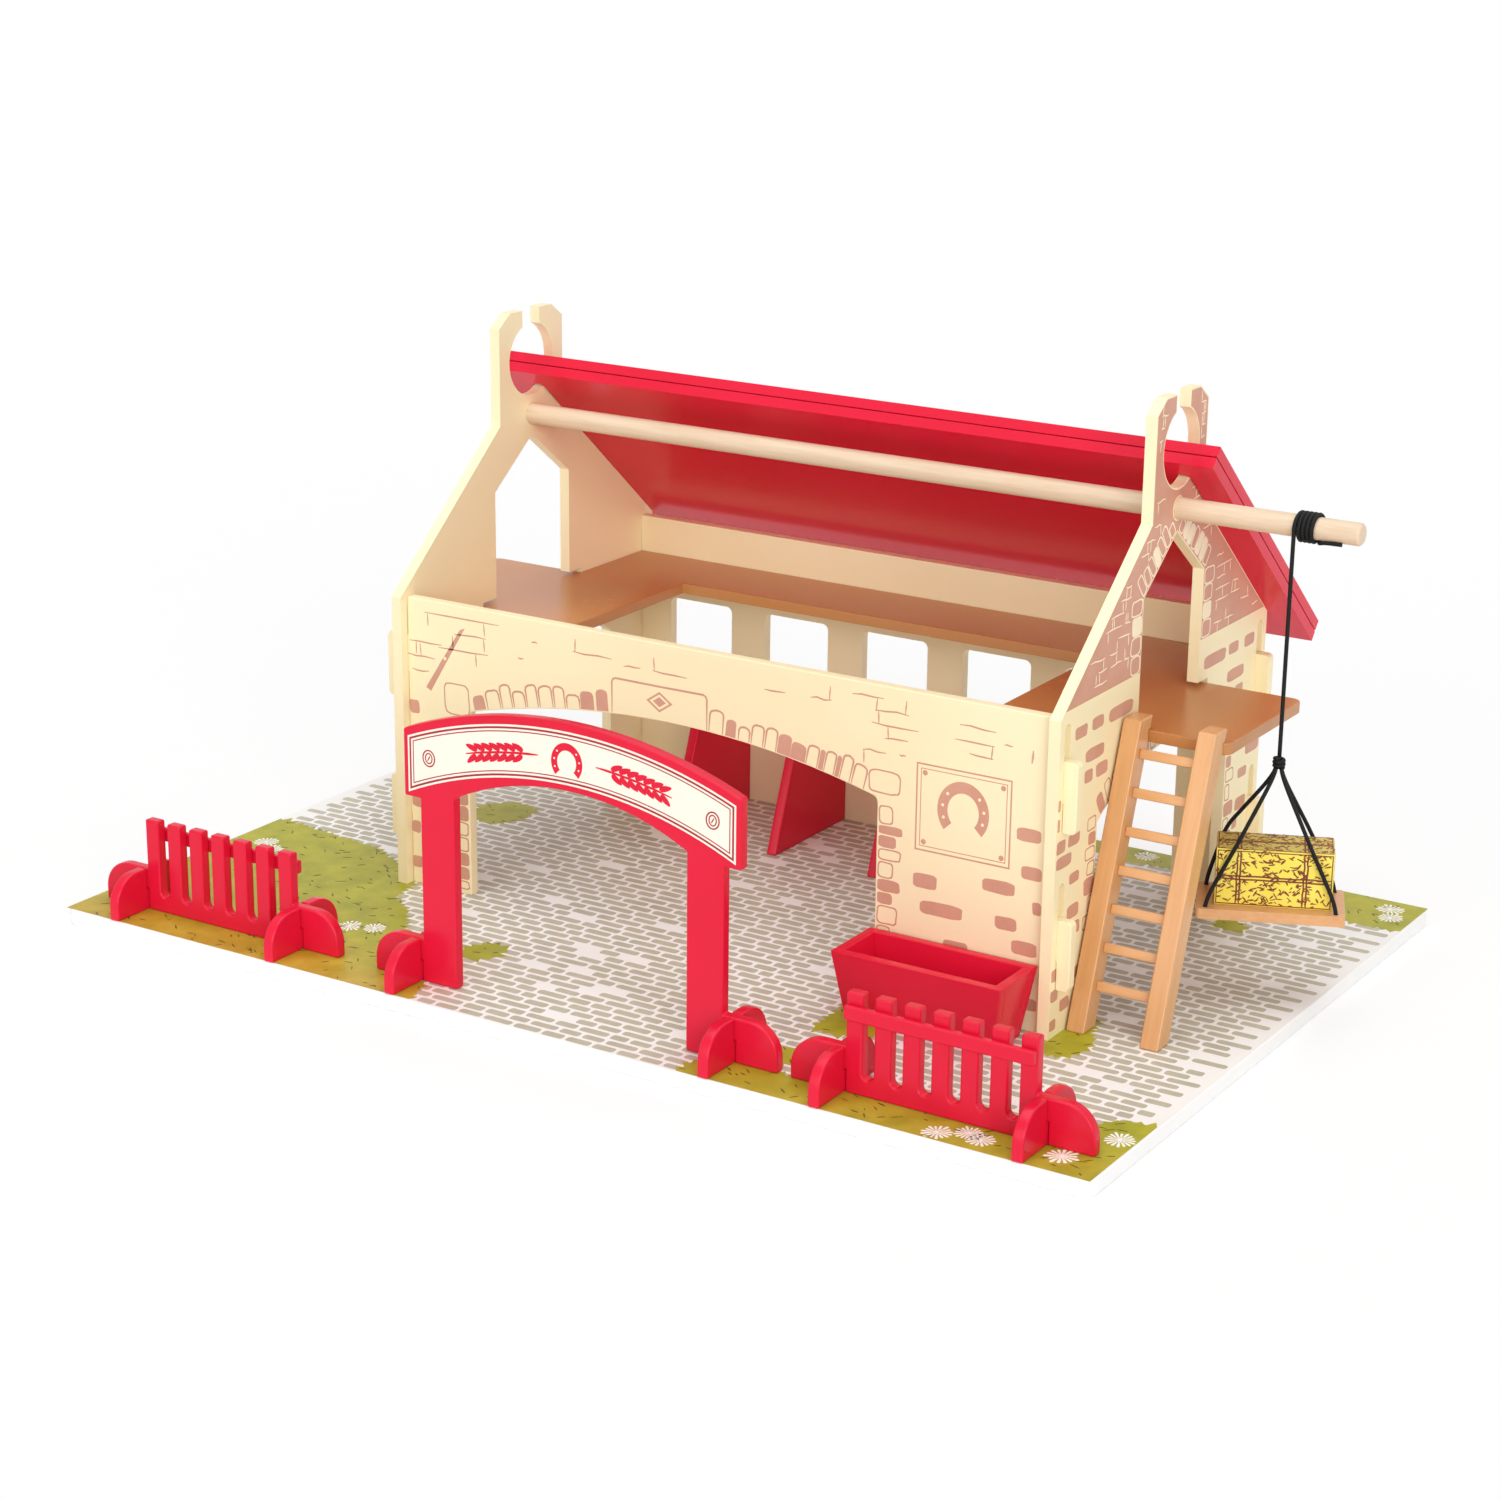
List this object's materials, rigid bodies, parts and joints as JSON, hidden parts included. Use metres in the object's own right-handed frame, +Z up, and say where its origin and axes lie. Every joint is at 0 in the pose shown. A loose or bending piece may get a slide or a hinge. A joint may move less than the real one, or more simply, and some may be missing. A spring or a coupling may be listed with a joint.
{
  "type": "toy barn",
  "caption": "Toy barn of painted boards on a base board, with a folding roof, a loft, a hand hoist, a ladder, a trough, fences and an entrance arch.",
  "frame": {"origin": "middle of the base board's underside", "axes": "+X to the right along the front, +Y to the back, +Z up"},
  "size_m": [0.6665, 0.4356, 0.3274],
  "materials": {
    "cream_board": "printed board, satin",
    "red_board": "gloss paint",
    "tan_wood": "satin varnish",
    "pale_wood": "bare, sanded",
    "base_print": "printed board, satin",
    "straw_print": "printed, satin",
    "cord": "braided"
  },
  "bodies": {
    "house": {"base_board": "base_print", "gable_left": "cream_board", "gable_right": "cream_board", "front_wall": "cream_board", "rear_wall": "cream_board", "loft_floor": "tan_wood", "stall_divider_1": "red_board", "stall_divider_2": "red_board", "stall_divider_3": "red_board", "hoist_drop": "cord"},
    "roof_rear": {"roof_rear": "red_board"},
    "roof_front": {"roof_front": "red_board"},
    "beam": {"hoist_beam": "pale_wood", "hoist_winding": "cord"},
    "platform": {"hoist_platform": "tan_wood", "hay_bale": "straw_print", "hoist_knot": "cord", "hoist_leg_1": "cord", "hoist_leg_2": "cord", "hoist_leg_3": "cord", "hoist_leg_4": "cord", "hoist_end_knots": "cord"},
    "ladder": {"ladder_rail_left": "tan_wood", "ladder_rail_right": "tan_wood", "ladder_rungs": "tan_wood"},
    "trough": {"trough_front": "red_board", "trough_back": "red_board", "trough_end_left": "red_board", "trough_end_right": "red_board", "trough_bottom": "red_board"},
    "fence_left": {"fence_left_panel": "red_board", "fence_left_rail": "red_board", "fence_left_foot_left": "red_board", "fence_left_foot_right": "red_board"},
    "fence_right": {"fence_right_panel": "red_board", "fence_right_rail": "red_board", "fence_right_foot_left": "red_board", "fence_right_foot_right": "red_board"},
    "entrance": {"entrance_board": "red_board", "entrance_foot_left": "red_board", "entrance_foot_right": "red_board"}
  },
  "joints": [
    {"name": "rear_roof_fold", "type": "hinge", "parent": "house", "child": "roof_rear", "pos_m": [0, 0.0489, 0.29802], "axis": [1, 0, 0], "range_deg": [0, 260.5]},
    {"name": "front_roof_fold", "type": "hinge", "parent": "roof_rear", "child": "roof_front", "pos_m": [0, 0.0489, 0.29802], "axis": [1, 0, 0], "range_deg": [0, 260.5]},
    {"name": "beam_turn", "type": "hinge", "parent": "house", "child": "beam", "pos_m": [0, 0.0489, 0.26572], "axis": [-1, 0, 0], "range_deg": [-340, 230]},
    {"name": "hoist_lift", "type": "slide", "parent": "house", "child": "platform", "axis": [0, 0, 1], "range_m": [-0.0424, 0.0287], "deforming": ["hoist_drop"]},
    {"name": "ladder_lift_off", "type": "slide", "parent": "house", "child": "ladder", "axis": [0, 0, 1], "range_m": [0, 0.05]},
    {"name": "trough_lift_off", "type": "slide", "parent": "house", "child": "trough", "axis": [0, 0, 1], "range_m": [0, 0.05]},
    {"name": "fence_left_lift_off", "type": "slide", "parent": "house", "child": "fence_left", "axis": [0, 0, 1], "range_m": [0, 0.05]},
    {"name": "fence_right_lift_off", "type": "slide", "parent": "house", "child": "fence_right", "axis": [0, 0, 1], "range_m": [0, 0.05]},
    {"name": "entrance_lift_off", "type": "slide", "parent": "house", "child": "entrance", "axis": [0, 0, 1], "range_m": [0, 0.05]}
  ],
  "couplings": [
    {"joint": "beam_turn", "follows": "hoist_lift", "rad_per_m": 139.86}
  ]
}
